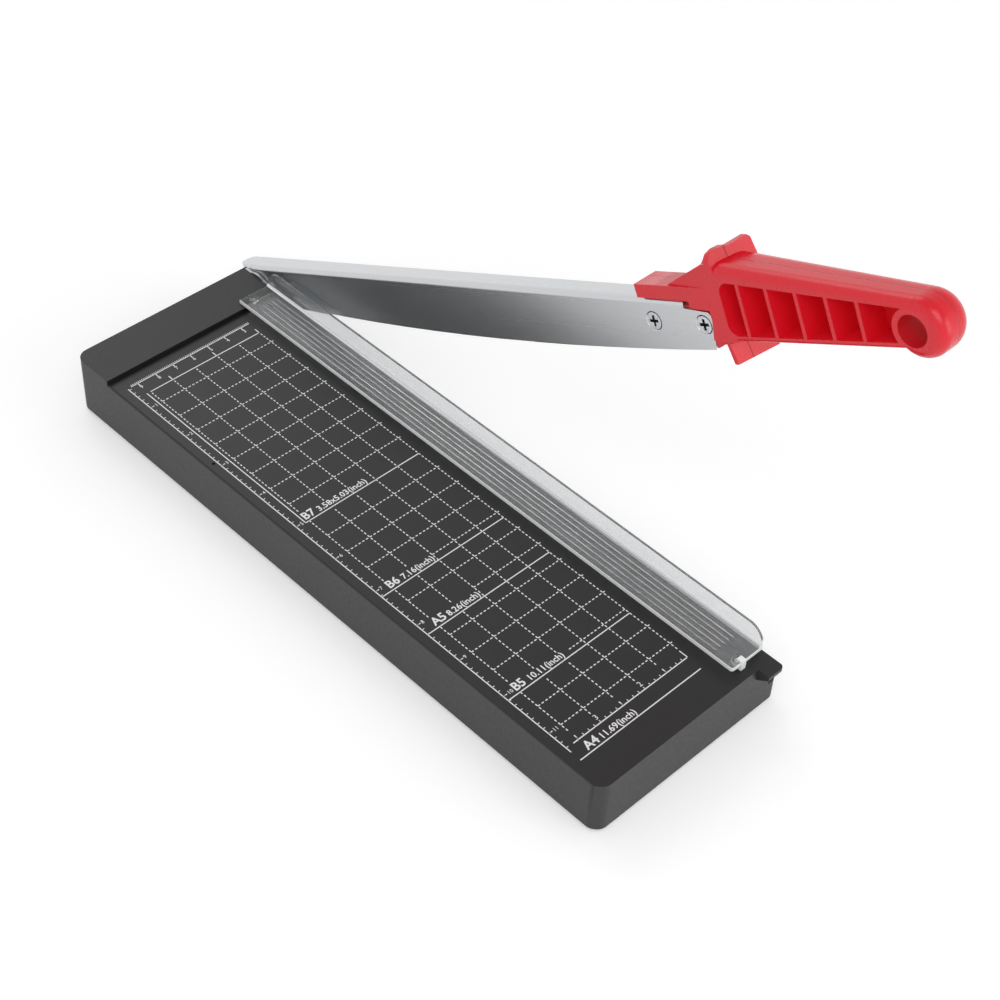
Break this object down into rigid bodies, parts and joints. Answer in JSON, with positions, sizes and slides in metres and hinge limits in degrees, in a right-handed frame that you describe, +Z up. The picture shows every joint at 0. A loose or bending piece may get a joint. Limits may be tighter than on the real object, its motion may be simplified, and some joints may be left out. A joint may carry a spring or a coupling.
{
  "type": "paper trimmer",
  "caption": "Small guillotine paper trimmer with a black ruled bed, paper fence, clear blade guard and a hinged steel blade arm with a red handle that swings down to cut",
  "frame": {"origin": "middle of the object's box with the arm raised as drawn, on the surface that the feet stand on", "axes": "+X across the bed towards the cut, +Y along the bed from the handle end to the fence, +Z up"},
  "size_m": [0.1204, 0.388, 0.2315],
  "materials": {
    "base_plastic": "black textured moulding",
    "handle_plastic": "red semi-gloss moulding",
    "clear_plastic": "clear extruded plastic",
    "blade_steel": "brushed steel sheet",
    "knife_steel": "ground steel strip",
    "spring_steel": "dark spring steel",
    "zinc_steel": "bright zinc plated steel",
    "bush_brass": "turned brass",
    "foot_rubber": "black rubber"
  },
  "bodies": {
    "base": {"base_shell": "base_plastic", "foot_near_left": "foot_rubber", "foot_near_right": "foot_rubber", "foot_far_left": "foot_rubber", "foot_far_right": "foot_rubber", "lower_blade": "knife_steel", "lower_blade_screws": "zinc_steel", "guard": "clear_plastic", "guard_screws": "zinc_steel", "pivot_bolt": "zinc_steel", "pivot_head_washer": "zinc_steel", "pivot_inner_washer": "zinc_steel", "pivot_disc_spring": "spring_steel", "pivot_lock_nut": "zinc_steel"},
    "arm": {"blade_arm": "blade_steel", "handle": "handle_plastic", "handle_screw_front": "zinc_steel", "handle_screw_rear": "zinc_steel", "handle_nut_front": "zinc_steel", "handle_nut_rear": "zinc_steel", "pivot_bush": "bush_brass"}
  },
  "joints": [
    {"name": "arm_hinge", "type": "hinge", "parent": "base", "child": "arm", "pos_m": [0.0411, 0.17471, 0.023], "axis": [-1, 0, 0], "range_deg": [-26, 36.8]}
  ]
}
